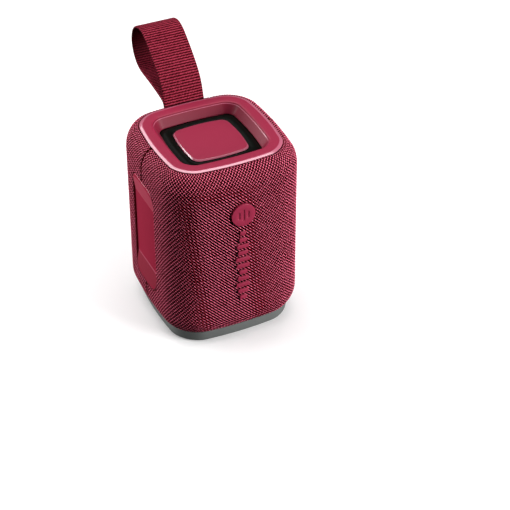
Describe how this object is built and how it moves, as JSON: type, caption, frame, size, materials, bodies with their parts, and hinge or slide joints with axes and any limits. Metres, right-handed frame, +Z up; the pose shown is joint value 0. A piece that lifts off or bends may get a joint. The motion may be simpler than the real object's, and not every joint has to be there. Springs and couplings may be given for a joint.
{
  "type": "portable speaker",
  "caption": "Upright fabric-covered portable speaker with top passive radiator, front driver, side keys, charging port flap and webbing carry loop.",
  "frame": {"origin": "centre of the rubber foot's underside, on the surface the speaker stands on", "axes": "+Z up, -Y out of the front with the badge, +X towards the side with the keys; the carry loop is at +Y"},
  "size_m": [0.0804, 0.122, 0.1398],
  "materials": {
    "fabric": "crimson knitted mesh, fine dark holes, soft sheen",
    "webbing": "ribbed polyester webbing, satin threads",
    "bezel_plastic": "satin moulded crimson plastic, very fine grain",
    "panel_rubber": "soft-touch crimson elastomer, smooth",
    "badge_plastic": "satin crimson plastic",
    "black_plastic": "fine moulded texture",
    "grey_rubber": "matt grey elastomer",
    "black_rubber": "smooth butyl rubber, low satin",
    "black_foam": "open-cell foam",
    "steel": "zinc-plated",
    "magnet": "sintered ferrite",
    "copper": "enamelled copper winding",
    "cone_paper": "coated paper cone",
    "spider_cloth": "phenolic cloth",
    "circuit_board": "green solder mask",
    "component_black": "moulded epoxy",
    "battery_wrap": "shrink-wrap film",
    "lens": "frosted light pipe"
  },
  "bodies": {
    "cabinet": {"cabinet_shell": "black_plastic", "fabric_sleeve": "fabric", "top_bezel": "bezel_plastic", "chassis_frame": "black_plastic", "base_plate": "black_plastic", "foot_ring": "grey_rubber", "base_screws": "steel", "grip_panel": "panel_rubber", "control_panel": "panel_rubber", "key_board": "circuit_board", "key_switches": "component_black", "key_board_screws": "steel", "status_lens": "lens", "radiator_surround": "black_rubber", "radiator_frame": "black_plastic", "radiator_screws": "steel", "front_grille": "black_plastic", "front_baffle": "black_plastic", "baffle_screws": "steel", "driver_gasket": "black_foam", "driver_basket": "black_plastic", "driver_top_plate": "steel", "driver_magnet": "magnet", "driver_yoke": "steel", "driver_surround": "black_rubber", "driver_spider": "spider_cloth", "driver_screws": "steel", "main_board": "circuit_board", "board_parts": "component_black", "board_screws": "steel", "charge_socket": "steel", "port_frame": "panel_rubber", "port_flap_pin": "steel", "battery": "battery_wrap", "battery_cradle": "black_plastic", "strap_anchor": "panel_rubber", "strap_tail": "webbing", "badge_disc": "badge_plastic", "badge_bars": "badge_plastic"},
    "radiator": {"radiator_plate": "bezel_plastic", "radiator_weight": "steel"},
    "driver_piston": {"driver_cone": "cone_paper", "driver_dust_cap": "cone_paper", "voice_coil": "copper"},
    "flap": {"port_flap": "panel_rubber"},
    "strap": {"strap_loop": "webbing"},
    "key_power_cap": {"key_power": "panel_rubber"},
    "key_pair_cap": {"key_pair": "panel_rubber"},
    "key_volume_down_cap": {"key_volume_down": "panel_rubber"},
    "key_play_cap": {"key_play": "panel_rubber"},
    "key_volume_up_cap": {"key_volume_up": "panel_rubber"}
  },
  "joints": [
    {"name": "radiator_travel", "type": "slide", "parent": "cabinet", "child": "radiator", "axis": [0, 0, 1], "range_m": [-0.002, 0.002], "stiffness_N_per_m": 600, "deforming": ["radiator_surround"]},
    {"name": "cone_travel", "type": "slide", "parent": "cabinet", "child": "driver_piston", "axis": [0, -1, 0], "range_m": [-0.0012, 0.0012], "stiffness_N_per_m": 300, "deforming": ["driver_surround", "driver_spider"]},
    {"name": "flap_hinge", "type": "hinge", "parent": "cabinet", "child": "flap", "pos_m": [0, 0.0394, 0.0202], "axis": [-1, 0, 0], "range_deg": [0, 105]},
    {"name": "strap_swing", "type": "hinge", "parent": "cabinet", "child": "strap", "pos_m": [0, 0.0353, 0.1092], "axis": [1, 0, 0], "range_deg": [-50, 75], "stiffness_Nm_per_rad": 0.02},
    {"name": "key_power_press", "type": "slide", "parent": "cabinet", "child": "key_power_cap", "axis": [-1, 0, 0], "range_m": [0, 0.0005], "stiffness_N_per_m": 800},
    {"name": "key_pair_press", "type": "slide", "parent": "cabinet", "child": "key_pair_cap", "axis": [-1, 0, 0], "range_m": [0, 0.0005], "stiffness_N_per_m": 800},
    {"name": "key_volume_down_press", "type": "slide", "parent": "cabinet", "child": "key_volume_down_cap", "axis": [-1, 0, 0], "range_m": [0, 0.0005], "stiffness_N_per_m": 800},
    {"name": "key_play_press", "type": "slide", "parent": "cabinet", "child": "key_play_cap", "axis": [-1, 0, 0], "range_m": [0, 0.0005], "stiffness_N_per_m": 800},
    {"name": "key_volume_up_press", "type": "slide", "parent": "cabinet", "child": "key_volume_up_cap", "axis": [-1, 0, 0], "range_m": [0, 0.0005], "stiffness_N_per_m": 800}
  ]
}
